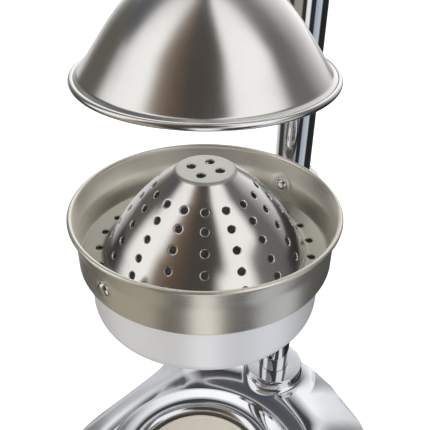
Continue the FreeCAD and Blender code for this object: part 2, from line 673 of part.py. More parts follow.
def lever_arm():
    rod = turned([(0, 10.5, 0), (LEVER_ROD_R, 10.5, 0.5), (LEVER_ROD_R, LEVER_LENGTH, 0.8), (0, LEVER_LENGTH, 0)])
    return stand_along(rod, lever_origin(), lever_direction())


def lever_grip():
    grip = turned([(0, GRIP_START, 0), (10.5, GRIP_START, 2.5), (12.0, GRIP_START + 45, 120), (14.5, GRIP_END - 14, 9),
                   (12.5, GRIP_END, 8), (0, GRIP_END, 0)])
    grip = grip.cut(cylinder(LEVER_ROD_R + 0.02, 0, LEVER_LENGTH + 0.3))
    return stand_along(grip, lever_origin(), lever_direction())


def lever_set_screw():
    screw = cylinder(3.0, SHAFT_R + 0.05, LEVER_HUB_R - 1.0).cut(hexagon(3.0, LEVER_HUB_R - 4, LEVER_HUB_R))
    return stand_along(screw, lever_origin(), lever_direction() * -1)


# ---------------------------------------------------------------- all nodes

def main():
    os.makedirs("parts", exist_ok=True)
    save(base_casting(), "base_casting")
    save(Part.makeCompound([rubber_foot(x, y) for x, y in FOOT_SPOTS]), "rubber_feet")
    save(Part.makeCompound([foot_screw(x, y) for x, y in FOOT_SPOTS]), "foot_screws")
    save(glass_pad(), "glass_pad")
    save(column_collar(), "column_collar")
    save(column_tube(), "column_tube")
    save(column_tie_rod(), "column_tie_rod")
    save(tie_rod_washer(), "tie_rod_washer")
    save(tie_rod_nut(), "tie_rod_nut")
    save(column_cap_nut(), "column_cap_nut")
    save(cup_holder(), "cup_holder")
    save(Part.makeCompound([holder_clamp_screw(z) for z in clamp_screw_heights()]), "holder_clamp_screws")
    save(juice_basket(), "juice_basket")
    save(Part.makeCompound([basket_rivet(t) for t in (0.0, 180.0)]), "basket_rivets")
    save(strainer_cone(), "strainer_cone")
    save(press_cone(), "press_cone")
    save(press_boss(), "press_boss")
    save(press_nut(), "press_nut")
    save(rack_bar(), "rack_bar")
    save(rack_stop_collar(), "rack_stop_collar")
    save(head_housing(), "head_housing")
    save(head_cover(), "head_cover")
    save(Part.makeCompound([cover_screw(y, z) for y, z in cover_screw_spots()]), "head_cover_screws")
    save(Part.makeCompound([head_set_screw(z) for z in head_screw_heights()]), "head_set_screws")
    save(rack_bush_lower(), "rack_bush_lower")
    save(rack_bush_upper(), "rack_bush_upper")
    save(shaft_bush(CHAMBER_RIGHT_X + 0.5, HEAD_HALF + 1.5), "shaft_bush_right")
    save(shaft_bush(-HEAD_HALF, -9.0), "shaft_bush_left")
    save(pinion_gear(), "pinion_gear")
    save(pinion_shaft(), "pinion_shaft")
    save(shaft_key(), "shaft_key")
    save(shaft_retaining_ring(), "shaft_retaining_ring")
    save(lever_hub(), "lever_hub")
    save(lever_arm(), "lever_arm")
    save(lever_grip(), "lever_grip")
    save(lever_set_screw(), "lever_set_screw")


main()
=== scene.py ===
"""Looks of the lever citrus press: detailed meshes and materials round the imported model.

Profiles are written in millimetres from the axis of each turned piece; objects are in metres.
"""
import math

import bmesh
import bpy
import numpy as np
from mathutils import Matrix, Vector


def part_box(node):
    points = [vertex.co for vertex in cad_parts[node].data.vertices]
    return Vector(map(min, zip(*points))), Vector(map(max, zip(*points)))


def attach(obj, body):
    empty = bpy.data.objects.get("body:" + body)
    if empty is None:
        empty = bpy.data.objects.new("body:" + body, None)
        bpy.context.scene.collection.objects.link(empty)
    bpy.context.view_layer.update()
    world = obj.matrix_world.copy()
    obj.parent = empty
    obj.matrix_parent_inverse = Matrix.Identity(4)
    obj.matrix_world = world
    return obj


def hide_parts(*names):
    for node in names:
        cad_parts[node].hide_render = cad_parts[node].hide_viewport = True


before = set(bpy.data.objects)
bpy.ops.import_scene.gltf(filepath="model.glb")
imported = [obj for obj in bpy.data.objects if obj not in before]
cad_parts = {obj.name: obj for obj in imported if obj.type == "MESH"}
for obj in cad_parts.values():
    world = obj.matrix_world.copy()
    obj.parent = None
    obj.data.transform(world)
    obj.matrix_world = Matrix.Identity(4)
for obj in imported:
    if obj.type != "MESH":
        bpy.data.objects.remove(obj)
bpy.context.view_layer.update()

MM = 0.001
UP = Vector((0, 0, 1))

# ---------------------------------------------------------------- places, read from the frame (mm)


def low(node):
    return Vector(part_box(node)[0]) / MM


def high(node):
    return Vector(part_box(node)[1]) / MM


def middle(node):
    return (low(node) + high(node)) / 2


RIM_Z = high("juice_basket").z
RIM_R = high("juice_basket").x
BASKET_FLOOR_Z = RIM_Z - 30.0
RIVET_Z = middle("basket_rivets").z
CUP_R = high("cup_holder").x
CUP_TOP_Z = BASKET_FLOOR_Z - 0.3
CUP_FLOOR_Z = RIM_Z - 64.0
SPOUT_END_Z = low("cup_holder").z
STRAINER_TOP_Z = high("strainer_cone").z
STRAINER_R = high("strainer_cone").x
STRAINER_FLOOR_Z = RIM_Z - 27.7
CONE_FOOT_Z = low("press_cone").z + 1.1
CONE_TOP_Z = high("press_cone").z
CONE_R = high("press_cone").x
COLUMN_X = middle("column_tube").x
COLUMN_Y = middle("column_tube").y
COLUMN_R = (high("column_tube").x - low("column_tube").x) / 2
HUB_TOP_Z = low("column_collar").z
PAD_Y = middle("glass_pad").y
PAD_R = (high("glass_pad").x - low("glass_pad").x) / 2
PAD_TOP_Z = high("glass_pad").z
PAD_FLOOR_Z = PAD_TOP_Z - 5.5
BASE_BOTTOM_Z = 3.0


# ---------------------------------------------------------------- mesh helpers

def round_path(corners, closed=False, turn=5.0, longest=2.5):
    """Points along straight runs joined by tangent arcs. Each corner is (a, b, radius).

    An arc has a point at least every turn degrees and every longest millimetres.
    """
    points = [Vector(c[:2]) for c in corners]
    count = len(points)
    path = []
    for i, corner in enumerate(corners):
        here = points[i]
        if (not closed and i in (0, count - 1)) or corner[2] <= 0:
            path.append(here)
            continue
        before = (points[i - 1] - here).normalized()
        after = (points[(i + 1) % count] - here).normalized()
        half = before.angle(after) / 2
        reach = corner[2] / math.tan(half)
        centre = here + (before + after).normalized() * (corner[2] / math.sin(half))
        start = here + before * reach - centre
        sweep = math.pi - 2 * half
        side = 1 if before.x * after.y - before.y * after.x < 0 else -1
        steps = max(2, math.ceil(math.degrees(sweep) / turn), math.ceil(corner[2] * sweep / longest))
        for k in range(steps + 1):
            angle = side * sweep * k / steps
            spin = Matrix.Rotation(angle, 2)
            path.append(centre + spin @ start)
    return path


def fill_runs(path, longest, closed=False):
    """The same path with points added so that no step is longer than a given length."""
    dense = []
    count = len(path)
    for i in range(count if closed else count - 1):
        a = path[i]
        b = path[(i + 1) % count]
        steps = max(1, math.ceil((b - a).length / longest))
        dense += [a.lerp(b, k / steps) for k in range(steps)]
    if not closed:
        dense.append(path[-1])
    return dense


def normals_of(path):
    """Unit normals on the left of an open path."""
    normals = []
    for i in range(len(path)):
        along = path[min(i + 1, len(path) - 1)] - path[max(i - 1, 0)]
        normals.append(Vector((-along.y, along.x)).normalized())
    return normals


def sheet_loop(path, thickness):
    """A closed outline: the path, and back along it one thickness to its right."""
    sides = normals_of(path)
    inner = [p - n * thickness for p, n in zip(path, sides)]
    return path + list(reversed(inner))


def new_object(name, mesh, material, body, sharp=35.0):
    mesh.shade_smooth()
    mesh.set_sharp_from_angle(angle=math.radians(sharp))
    mesh.materials.clear()
    mesh.materials.append(material)
    obj = bpy.data.objects.new(name, mesh)
    bpy.context.scene.collection.objects.link(obj)
    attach(obj, body)
    return obj


def mesh_from(name, points, faces):
    """A mesh from points in millimetres, with its faces turned outwards."""
    mesh = bpy.data.meshes.new(name)
    mesh.from_pydata([Vector(p) * MM for p in points], [], faces)
    shape = bmesh.new()
    shape.from_mesh(mesh)
    bmesh.ops.remove_doubles(shape, verts=shape.verts, dist=1e-6)
    bmesh.ops.recalc_face_normals(shape, faces=shape.faces)
    shape.to_mesh(mesh)
    shape.free()
    return mesh


def turned(loop, segments=192, place=None, wobble=None):
    """Points and faces of a closed outline turned about Z. place moves the points afterwards."""
    points = []
    faces = []
    rows = []
    for p in loop:
        if abs(p.x) < 1e-6:
            rows.append([len(points)] * segments)
            points.append(Vector((0, 0, p.y)))
            continue
        rows.append(list(range(len(points), len(points) + segments)))
        for k in range(segments):
            angle = 2 * math.pi * k / segments
            radius = p.x + (wobble(angle, p) if wobble else 0)
            points.append(Vector((radius * math.cos(angle), radius * math.sin(angle), p.y)))
    count = len(loop)
    for i in range(count):
        a = rows[i]
        b = rows[(i + 1) % count]
        for k in range(segments):
            n = (k + 1) % segments
            corners = [a[k], a[n], b[n], b[k]]
            face = list(dict.fromkeys(corners))
            if len(face) > 2:
                faces.append(face)
    if place:
        points = [place @ p for p in points]
    return points, faces


def join(parts):
    """Several lists of points and faces as one."""
    points = []
    faces = []
    for some_points, some_faces in parts:
        base = len(points)
        points += some_points
        faces += [[base + i for i in face] for face in some_faces]
    return points, faces


def at(x, y):
    return Matrix.Translation((x, y, 0.0))


def bead_loop(centre_r, centre_z, radius):
    """The round outline of a rolled edge."""
    angles = [math.radians(a) for a in range(0, 360, 15)]
    return [Vector((centre_r + radius * math.cos(a), centre_z + radius * math.sin(a))) for a in angles]


def facing(origin, direction):
    """Places a piece made along +Z so that it points along a direction."""
    return Matrix.Translation(origin) @ UP.rotation_difference(direction).to_matrix().to_4x4()


def lathe(name, corners, material, body, place, segments=192):
    """A turned solid from a closed list of corners."""
    loop = round_path(corners, closed=True)
    points, faces = turned(loop, segments, place)
    return new_object(name, mesh_from(name, points, faces), material, body)


# ---------------------------------------------------------------- material helpers

BRUSH_ALONG = 2.0         # brushed grain: noise cells round the turn
BRUSH_ACROSS = 7000.0     # and per metre across it
BRUSH_SLANT = 1.7         # how far the grain leans across cones and floors
LOW_GREY = 0.3            # noise values that a look's lowest and highest tones stand at
HIGH_GREY = 0.7


class Nodes:
    """Short names for building one material's node tree."""

    def __init__(self, name):
        self.material = bpy.data.materials.new(name)
        self.material.use_nodes = True
        self.tree = self.material.node_tree
        self.shader = self.tree.nodes["Principled BSDF"]

    def node(self, kind, **settings):
        made = self.tree.nodes.new("ShaderNode" + kind)
        for key, value in settings.items():
            setattr(made, key, value)
        return made

    def link(self, source, target):
        self.tree.links.new(source, target)

    def math(self, operation, a, b=None):
        made = self.node("Math", operation=operation)
        for socket, value in zip(made.inputs, (a, b)):
            if value is None:
                continue
            if isinstance(value, (int, float)):
                socket.default_value = value
            else:
                self.link(value, socket)
        return made.outputs[0]

    def object_coords(self):
        return self.node("TexCoord").outputs["Object"]

    def round_coords(self):
        """Coordinates for brushing round the press axis: slow round the turn, fast across it."""
        split = self.node("SeparateXYZ")
        self.link(self.object_coords(), split.inputs[0])
        x, y = split.outputs[0], split.outputs[1]
        radius = self.math("SQRT", self.math("ADD", self.math("MULTIPLY", x, x), self.math("MULTIPLY", y, y)))
        safe = self.math("MAXIMUM", radius, 0.001)
        join_up = self.node("CombineXYZ")
        self.link(self.math("MULTIPLY", self.math("DIVIDE", x, safe), BRUSH_ALONG), join_up.inputs[0])
        self.link(self.math("MULTIPLY", self.math("DIVIDE", y, safe), BRUSH_ALONG), join_up.inputs[1])
        slant = self.math("SUBTRACT", split.outputs[2], self.math("MULTIPLY", radius, BRUSH_SLANT))
        self.link(self.math("MULTIPLY", slant, BRUSH_ACROSS), join_up.inputs[2])
        return join_up.outputs[0]

    def noise(self, coords, scale, detail=3.0, rough=0.55):
        made = self.node("TexNoise")
        self.link(coords, made.inputs["Vector"])
        made.inputs["Scale"].default_value = scale
        made.inputs["Detail"].default_value = detail
        made.inputs["Roughness"].default_value = rough
        return made.outputs["Fac"]

    def ramp(self, value, stops):
        made = self.node("ValToRGB")
        self.link(value, made.inputs[0])
        elements = made.color_ramp.elements
        while len(elements) < len(stops):
            elements.new(0.5)
        for element, (place, colour) in zip(elements, stops):
            element.position = place
            element.color = colour if len(colour) == 4 else (*colour, 1)
        return made.outputs["Color"]

    def grey_range(self, value, lowest, highest, start=LOW_GREY, end=HIGH_GREY):
        made = self.node("MapRange")
        self.link(value, made.inputs["Value"])
        made.inputs["From Min"].default_value = start
        made.inputs["From Max"].default_value = end
        made.inputs["To Min"].default_value = lowest
        made.inputs["To Max"].default_value = highest
        return made.outputs["Result"]

    def mixed(self, factor, a, b):
        made = self.node("Mix", data_type="RGBA")
        self.link(factor, made.inputs["Factor"])
        for key, value in (("A", a), ("B", b)):
            if isinstance(value, tuple):
                made.inputs[key].default_value = value
            else:
                self.link(value, made.inputs[key])
        return made.outputs["Result"]

    def bump(self, height, strength, distance):
        made = self.node("Bump")
        made.inputs["Strength"].default_value = strength
        made.inputs["Distance"].default_value = distance
        self.link(height, made.inputs["Height"])
        return made.outputs["Normal"]

    def set(self, **values):
        for key, value in values.items():
            socket = self.shader.inputs[key.replace("_", " ")]
            if isinstance(value, (int, float, tuple)):
                socket.default_value = value
            else:
                self.link(value, socket)


def tint(colour, factor):
    return tuple(min(1.0, c * factor) for c in colour)


def brushed_round(name, colour, roughness, stretch, mottling, grain=1.0, metal=1.0):
    """Sheet metal brushed round the press axis."""
    n = Nodes(name)
    fine = n.noise(n.round_coords(), 1.0, 4.0, 0.7)
    broad = n.noise(n.object_coords(), 18.0, 3.0)
    smudge = n.noise(n.object_coords(), 55.0, 4.0, 0.6)
    mixed = n.math("ADD", n.math("MULTIPLY", fine, 0.7), n.math("MULTIPLY", broad, 0.3))
    tones = [(LOW_GREY, tint(colour, 1 - mottling)), (HIGH_GREY, tint(colour, 1 + mottling))]
    n.set(Base_Color=n.ramp(mixed, tones))
    rough = n.math("ADD", n.grey_range(fine, roughness * 0.82, roughness * 1.2),
                   n.grey_range(smudge, -0.025, 0.035))
    n.set(Roughness=rough, Metallic=metal, Anisotropic=stretch, Anisotropic_Rotation=0.25)
    direction = n.node("Tangent", direction_type="RADIAL", axis="Z")
    n.link(direction.outputs[0], n.shader.inputs["Tangent"])
    n.set(Normal=n.bump(fine, 0.03 * grain, 0.00002))
    return n.material


def mirror_chrome(name, colour=(0.74, 0.75, 0.775), roughness=0.045):
    """Chrome plate with faint polishing haze and fine wipe marks."""
    n = Nodes(name)
    haze = n.noise(n.object_coords(), 30.0, 4.0)
    wipes = n.noise(n.object_coords(), 260.0, 2.0, 0.5)
    n.set(Base_Color=n.ramp(haze, [(0.35, tint(colour, 0.96)), (0.65, tint(colour, 1.03))]))
    n.set(Roughness=n.grey_range(haze, roughness * 0.6, roughness * 1.6), Metallic=1.0)
    n.set(Normal=n.bump(wipes, 0.012, 0.0002))
    return n.material


def cast_metal(name, colour, roughness, grain_scale, metallic=1.0):
    """A polished or satin casting with fine pores and slow tone changes."""
    n = Nodes(name)
    pores = n.noise(n.object_coords(), grain_scale, 5.0, 0.65)
    tone = n.noise(n.object_coords(), 14.0, 3.0)
    n.set(Base_Color=n.ramp(tone, [(LOW_GREY, tint(colour, 0.95)), (HIGH_GREY, tint(colour, 1.03))]))
    n.set(Roughness=n.grey_range(pores, roughness * 0.85, roughness * 1.2), Metallic=metallic)
    n.set(Normal=n.bump(pores, 0.02, 0.0002))
    return n.material


def machined(name, colour, roughness, scale=500.0):
    """Plain turned or milled steel."""
    n = Nodes(name)
    stretch = n.node("Mapping")
    n.link(n.object_coords(), stretch.inputs["Vector"])
    stretch.inputs["Scale"].default_value = (0.15, 1.0, 1.0)
    marks = n.noise(stretch.outputs[0], scale, 4.0, 0.6)
    n.set(Base_Color=n.ramp(marks, [(LOW_GREY, tint(colour, 0.88)), (HIGH_GREY, tint(colour, 1.08))]))
    n.set(Roughness=n.grey_range(marks, roughness * 0.8, roughness * 1.25), Metallic=1.0)
    n.set(Normal=n.bump(marks, 0.06, 0.0002))
    return n.material


def smooth_plastic(name, colour, roughness, grain, scale, coat=0.0):
    """Moulded rubber or plastic with a fine skin."""
    n = Nodes(name)
    skin = n.noise(n.object_coords(), scale, 4.0, 0.6)
    tone = n.noise(n.object_coords(), 25.0, 3.0)
    n.set(Base_Color=n.ramp(tone, [(LOW_GREY, tint(colour, 0.94)), (HIGH_GREY, tint(colour, 1.05))]))
    n.set(Roughness=n.grey_range(skin, roughness * 0.85, roughness * 1.15))
    n.set(Coat_Weight=coat, Coat_Roughness=0.12)
    n.set(Normal=n.bump(skin, grain, 0.0003))
    return n.material


CHROME = mirror_chrome("chrome_base")
CHROME_TUBE = mirror_chrome("chrome_column", roughness=0.035)
CONE_STEEL = brushed_round("cone_steel", (0.77, 0.755, 0.73), 0.20, 0.6, 0.04)
BASKET_STEEL = brushed_round("basket_steel", (0.77, 0.73, 0.645), 0.32, 0.3, 0.05, grain=0.4, metal=0.9)
STRAINER_STEEL = brushed_round("strainer_steel", (0.74, 0.72, 0.69), 0.17, 0.35, 0.04, grain=0.6)
DISC_STEEL = brushed_round("strainer_disc_steel", (0.51, 0.50, 0.46), 0.36, 0.0, 0.05)
# painted shade: a darker copy of the strainer's steel for its floor ring, standing in for the shade that
# falls on it deep in the basket
FLOOR_SHADED_STEEL = brushed_round("strainer_floor_painted_shade", (0.36, 0.345, 0.29), 0.34, 0.0, 0.06)
RIVET_STEEL = mirror_chrome("rivet_steel", (0.66, 0.65, 0.62), 0.16)
CUP_METAL = cast_metal("cup_satin", (0.93, 0.935, 0.95), 0.45, 700.0, metallic=0.45)
HEAD_METAL = cast_metal("head_polished", (0.74, 0.745, 0.76), 0.16, 300.0)
STEEL = machined("machined_steel", (0.42, 0.42, 0.43), 0.32)
ZINC = machined("zinc_steel", (0.50, 0.50, 0.52), 0.38, 800.0)
BRONZE = machined("bush_bronze", (0.52, 0.36, 0.17), 0.36, 700.0)
RUBBER = smooth_plastic("black_rubber", (0.016, 0.016, 0.017), 0.75, 0.25, 900.0)
GRIP_BLACK = smooth_plastic("grip_black", (0.014, 0.014, 0.015), 0.32, 0.10, 1500.0, coat=0.25)
PAD_CREAM = smooth_plastic("pad_cream", (0.72, 0.67, 0.565), 0.30, 0.03, 1200.0, coat=0.3)


# ---------------------------------------------------------------- strainer

SHEET = 0.9
CENTRE_R = 3.2            # the plain middle of the strainer's top
DISC_R = 15.8             # the flat top's corner, before its bend
FOOT_R = 57.4             # the flank's corner with the floor
ROUND = 192               # vertices round the strainer, shared by every band
HOLE_R = 1.95
ROW_HOLES = 16
# Each row of holes in the flank: its radius, and its height from the basket's rim.
FLANK_ROWS = [(27.3, 11.8), (34.4, 4.1), (41.1, -3.9), (47.4, -12.2), (53.4, -20.7)]
TOP_HOLE_R = 2.4
TOP_HOLES = 4
TOP_HOLE_REACH = 8.1      # from the axis
TOP_BAND_R = 12.6
TOP_HOLE_SHIFT = -15      # how far the top holes stand turned, in those vertices
FLOOR_HOLES = 24
FLOOR_HOLE_REACH = 60.4
FLOOR_BAND_HALF = 3.9
# The rounded edge of a punched hole: each ring's radius, and how far it is sunk.
HOLE_EDGE = [(2.9, 0.0), (2.6, -0.01), (2.4, -0.04), (2.25, -0.09), (2.12, -0.18), (2.03, -0.30)]
DISC_LOOK_R = 17.0        # the disc's own steel goes a little over its bend
DISC_LOOK_DEPTH = 1.3
# from this reach outwards the strainer's floor takes the darker steel of painted shade
FLOOR_SHADE_R = 57.0


class Surface:
    """A turned sheet's outer face, read by the distance along its profile."""

    def __init__(self, corners):
        self.path = fill_runs(round_path(corners, turn=3.0, longest=1.0), 1.0)
        self.marks = [0.0]
        for a, b in zip(self.path, self.path[1:]):
            self.marks.append(self.marks[-1] + (b - a).length)
        self.normals = normals_of(self.path)
        self.length = self.marks[-1]

    def read(self, s):
        s = min(max(s, 0.0), self.length)
        i = 0
        hi = len(self.marks) - 1
        while hi - i > 1:
            half = (i + hi) // 2
            if self.marks[half] <= s:
                i = half
            else:
                hi = half
        k = (s - self.marks[i]) / (self.marks[i + 1] - self.marks[i])
        normal = self.normals[i].lerp(self.normals[i + 1], k).normalized()
        return self.path[i].lerp(self.path[i + 1], k), normal

    def point(self, angle, s, lift=0.0):
        p, n = self.read(s)
        p = p + n * lift
        return Vector((p.x * math.cos(angle), p.x * math.sin(angle), p.y))

    def nearest(self, r, z):
        target = Vector((r, z))
        best = min(range(len(self.path)), key=lambda i: (self.path[i] - target).length)
        return self.marks[best]


def plain_band(surface, marks, lift):
    """Rings of quads between the given marks along the profile."""
    points = []
    faces = []
    for s in marks:
        points += [surface.point(2 * math.pi * k / ROUND, s, lift) for k in range(ROUND)]
    for i in range(len(marks) - 1):
        for k in range(ROUND):
            n = (k + 1) % ROUND
            a = i * ROUND
            faces.append([a + k, a + n, a + ROUND + n, a + ROUND + k])
    return points, faces


def holed_band(surface, s_low, s_high, s_hole, holes, lift, rings, shift=0):
    """One band of cells, each with a round hole. rings lists the radius and sink of each ring round the hole.

    shift turns the whole band by that many of the surface's vertices.
    """
    per_cell = ROUND // holes
    side_steps = max(6, min(14, per_cell))
    points = []
    faces = []
    hole_radius = surface.read(s_hole)[0].x
    for c in range(holes):
        first = 2 * math.pi * (c / holes + shift / ROUND)
        last = first + 2 * math.pi / holes
        centre = (first + last) / 2
        border = []
        arcs = []
        for k in range(per_cell):
            border.append((first + (last - first) * k / per_cell, s_low))
            arcs.append(math.radians(-135 + 90 * k / per_cell))
        for k in range(side_steps):
            border.append((last, s_low + (s_high - s_low) * k / side_steps))
            arcs.append(math.radians(-45 + 90 * k / side_steps))
        for k in range(per_cell):
            border.append((last - (last - first) * k / per_cell, s_high))
            arcs.append(math.radians(45 + 90 * k / per_cell))
        for k in range(side_steps):
            border.append((first, s_high - (s_high - s_low) * k / side_steps))
            arcs.append(math.radians(135 + 90 * k / side_steps))
        count = len(border)
        start = len(points)
        ring_start = rings[0][0]
        near = [(centre + ring_start * math.cos(a) / hole_radius, s_hole + ring_start * math.sin(a))
                for a in arcs]
        blend_steps = 4
        for b in range(blend_steps):
            w = b / blend_steps
            for (a0, s0), (a1, s1) in zip(border, near):
                points.append(surface.point(a0 + (a1 - a0) * w, s0 + (s1 - s0) * w, lift))
        for radius, sink in rings:
            for a in arcs:
                s = s_hole + radius * math.sin(a)
                angle = centre + radius * math.cos(a) / surface.read(s)[0].x
                points.append(surface.point(angle, s, lift + sink))
        for i in range(blend_steps + len(rings) - 1):
            for k in range(count):
                n = (k + 1) % count
                a = start + i * count
                faces.append([a + k, a + n, a + count + n, a + count + k])
    return points, faces


def steps_between(a, b, longest=1.2):
    count = max(1, math.ceil(abs(b - a) / longest))
    return [a + (b - a) * i / count for i in range(count + 1)]


def punched(outer, hole_r=HOLE_R):
    """Rings round a punched hole: its edge is drawn in a little, on both faces of the sheet."""
    rings = [(hole_r - HOLE_R + radius, sink) for radius, sink in HOLE_EDGE]
    if outer:
        return rings + [(hole_r, -0.46), (hole_r, -0.7), (hole_r, -SHEET - 0.30)]
    return [(radius, sink * 0.8) for radius, sink in rings] + [(hole_r, -0.30)]


def strainer():
    top = STRAINER_TOP_Z
    floor = STRAINER_FLOOR_Z
    surface = Surface([(CENTRE_R, top, 0), (DISC_R, top, 2.5), (40.5, RIM_Z + 1.4, 120), (FOOT_R, floor, 4.0),
                       (STRAINER_R, floor, 0)])
    rows = [surface.nearest(r, RIM_Z + z) for r, z in FLANK_ROWS]
    gap = rows[1] - rows[0]
    edges = [rows[0] - gap / 2] + [(a + b) / 2 for a, b in zip(rows, rows[1:])] + [rows[-1] + gap / 2]
    top_hole = TOP_HOLE_REACH - CENTRE_R
    top_edge = TOP_BAND_R - CENTRE_R
    floor_hole = surface.nearest(FLOOR_HOLE_REACH, floor)
    floor_edges = (floor_hole - FLOOR_BAND_HALF, floor_hole + FLOOR_BAND_HALF)
    parts = []
    for outer in (True, False):
        lift = 0.0 if outer else -SHEET
        rings = punched(outer)
        parts.append(plain_band(surface, steps_between(0.0, 1.0), lift))
        top_rings = punched(outer, TOP_HOLE_R)
        parts.append(holed_band(surface, 1.0, top_edge, top_hole, TOP_HOLES, lift, top_rings, TOP_HOLE_SHIFT))
        parts.append(plain_band(surface, steps_between(top_edge, edges[0], 0.6), lift))
        for i, s in enumerate(rows):
            parts.append(holed_band(surface, edges[i], edges[i + 1], s, ROW_HOLES, lift, rings))
        parts.append(plain_band(surface, steps_between(edges[-1], floor_edges[0], 0.6), lift))
        parts.append(holed_band(surface, *floor_edges, floor_hole, FLOOR_HOLES, lift, rings))
        parts.append(plain_band(surface, steps_between(floor_edges[1], surface.length, 0.5), lift))
    parts.append(cap_disc(surface))
    parts.append(rim_close(surface))
    points, faces = join(parts)
    mesh = mesh_from("strainer", points, faces)
    obj = new_object("strainer_shell", mesh, STRAINER_STEEL, "strainer", sharp=50)
    mesh.materials.append(DISC_STEEL)
    mesh.materials.append(FLOOR_SHADED_STEEL)
    for polygon in mesh.polygons:
        centre = polygon.center / MM
        reach = math.hypot(centre.x, centre.y)
        # the floor ring is given the darker steel, painted shade deep in the basket
        if reach > FLOOR_SHADE_R:
            polygon.material_index = 2
        elif reach < DISC_LOOK_R and centre.z > top - DISC_LOOK_DEPTH:
            polygon.material_index = 1
    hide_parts("strainer_cone")


def cap_disc(surface):
    """Closes the middle of the top, on both faces."""
    points = []
    faces = []
    for lift in (0.0, -SHEET):
        base = len(points)
        points += [surface.point(2 * math.pi * k / ROUND, 0.0, lift) for k in range(ROUND)]
        points.append(Vector((0, 0, surface.read(0.0)[0].y + lift)))
        faces += [[base + k, base + (k + 1) % ROUND, base + ROUND] for k in range(ROUND)]
    return points, faces


def rim_close(surface):
    """Closes the floor's outer edge."""
    points = []
    faces = []
    for lift in (0.0, -SHEET):
        points += [surface.point(2 * math.pi * k / ROUND, surface.length, lift) for k in range(ROUND)]
    for k in range(ROUND):
        n = (k + 1) % ROUND
        faces.append([k, n, ROUND + n, ROUND + k])
    return points, faces


# ---------------------------------------------------------------- basket

BASKET_R = 71.4
BASKET_SHEET = 0.9
BASKET_BEAD = 1.4
SOCKET_R = 63.7           # the short skirt that sits in the cup
RIVET_ANGLES = (math.radians(-100.0), math.radians(80.0))
RIVET_HEAD_R = 4.0


def rivet_dimple(angle, p):
    """The wall is drawn out slightly in a ring round each rivet."""
    push = 0.0
    for turn in RIVET_ANGLES:
        away = (angle - turn + math.pi) % (2 * math.pi) - math.pi
        reach = math.hypot(away * BASKET_R, p.y - RIVET_Z)
        push += 0.30 * math.exp(-((reach - 6.0) / 1.6) ** 2)
    return push if BASKET_FLOOR_Z + 2 < p.y < RIM_Z - 6 else 0.0


def basket():
    floor = BASKET_FLOOR_Z
    outer = round_path([(RIM_R - 0.9, RIM_Z - 1.8, 0), (BASKET_R, RIM_Z - 13, 16), (BASKET_R, floor, 1.6),
                        (SOCKET_R, floor, 0.5), (SOCKET_R, floor - 8, 0)])
    wall = turned(sheet_loop(fill_runs(outer, 1.0), BASKET_SHEET), 384, wobble=rivet_dimple)
    roll = turned(bead_loop(RIM_R - BASKET_BEAD, RIM_Z - BASKET_BEAD, BASKET_BEAD), 384)
    points, faces = join([wall, roll])
    mesh = mesh_from("basket", points, faces)
    obj = new_object("basket_shell", mesh, BASKET_STEEL, "basket")
    obj.visible_glossy = False
    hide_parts("juice_basket")
    heads = []
    for turn in RIVET_ANGLES:
        out = Vector((math.cos(turn), math.sin(turn), 0))
        for face, side in ((BASKET_R + 0.1, 1), (BASKET_R - 1.1, -1)):
            dome = round_path([(0, 2.1, 0), (2.8, 2.1, 2.2), (RIVET_HEAD_R, 0.5, 0.5),
                               (RIVET_HEAD_R, -0.3, 0), (0, -0.3, 0)], True)
            heads.append(turned(dome, 48, facing(out * face + Vector((0, 0, RIVET_Z)), out * side)))
    points, faces = join(heads)
    mesh = mesh_from("studs", points, faces)
    studs = new_object("basket_studs", mesh, RIVET_STEEL, "basket")
    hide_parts("basket_rivets")


# ---------------------------------------------------------------- press cone

CONE_SHEET = 1.1
CONE_BEAD = 1.6


def press_cone():
    path = round_path([(5.2, CONE_TOP_Z, 0), (15.5, CONE_TOP_Z, 4.0), (38.6, RIM_Z + 107.4, 115),
                       (60.4, RIM_Z + 76.5, 2.5), (CONE_R - 1.8, CONE_FOOT_Z + 1.6, 0)])
    wall = turned(sheet_loop(fill_runs(path, 1.2), CONE_SHEET), 256)
    roll = turned(bead_loop(CONE_R - CONE_BEAD, CONE_FOOT_Z + 0.6, CONE_BEAD), 256)
    points, faces = join([wall, roll])
    obj = new_object("press_bell", mesh_from("press_bell", points, faces), CONE_STEEL, "press")
    obj.visible_glossy = False
    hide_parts("press_cone")


# ---------------------------------------------------------------- cup and its holder

SPOUT_R = 11.0
CUP_WALL = 2.0
CLAMP_R = 19.8
WEB_HALF = 9              # half the width of the arm's web
SHOE_HALF = 14            # and of its foot on the cup


def cup():
    path = round_path([(SPOUT_R, SPOUT_END_Z, 0), (SPOUT_R, CUP_FLOOR_Z - 5, 5.0), (CUP_R, CUP_FLOOR_Z, 9.0),
                       (CUP_R, CUP_TOP_Z, 0)])
    loop = sheet_loop(fill_runs(path, 2.0), -CUP_WALL)
    points, faces = turned(loop, 256)
    obj = new_object("cup_body", mesh_from("cup_body", points, faces), CUP_METAL, "frame")
    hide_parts("cup_holder")


def cup_arm():
    """The cast arm between cup and column: a web and a clamp ring, melted together."""
    lower = CUP_FLOOR_Z + 1.0
    upper = CUP_TOP_Z - 1.0
    bore = COLUMN_R + 0.1
    section = round_path([(bore, lower, 0), (CLAMP_R, lower, 3), (CLAMP_R, upper, 3), (bore, upper, 0)], True)
    ring = turned(section, 96, at(COLUMN_X, COLUMN_Y))
    start = CUP_R - 1.2
    web = block_points(-WEB_HALF, WEB_HALF, start, COLUMN_Y - 14, CUP_FLOOR_Z + 6, CUP_TOP_Z - 5)
    shoe = block_points(-SHOE_HALF, SHOE_HALF, start, CUP_R + 3, CUP_FLOOR_Z + 8, CUP_TOP_Z - 3)
    arm = melted("cup_arm", [ring, web, shoe], 1.0, 6, CUP_METAL, "frame")
    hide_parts("cup_holder")


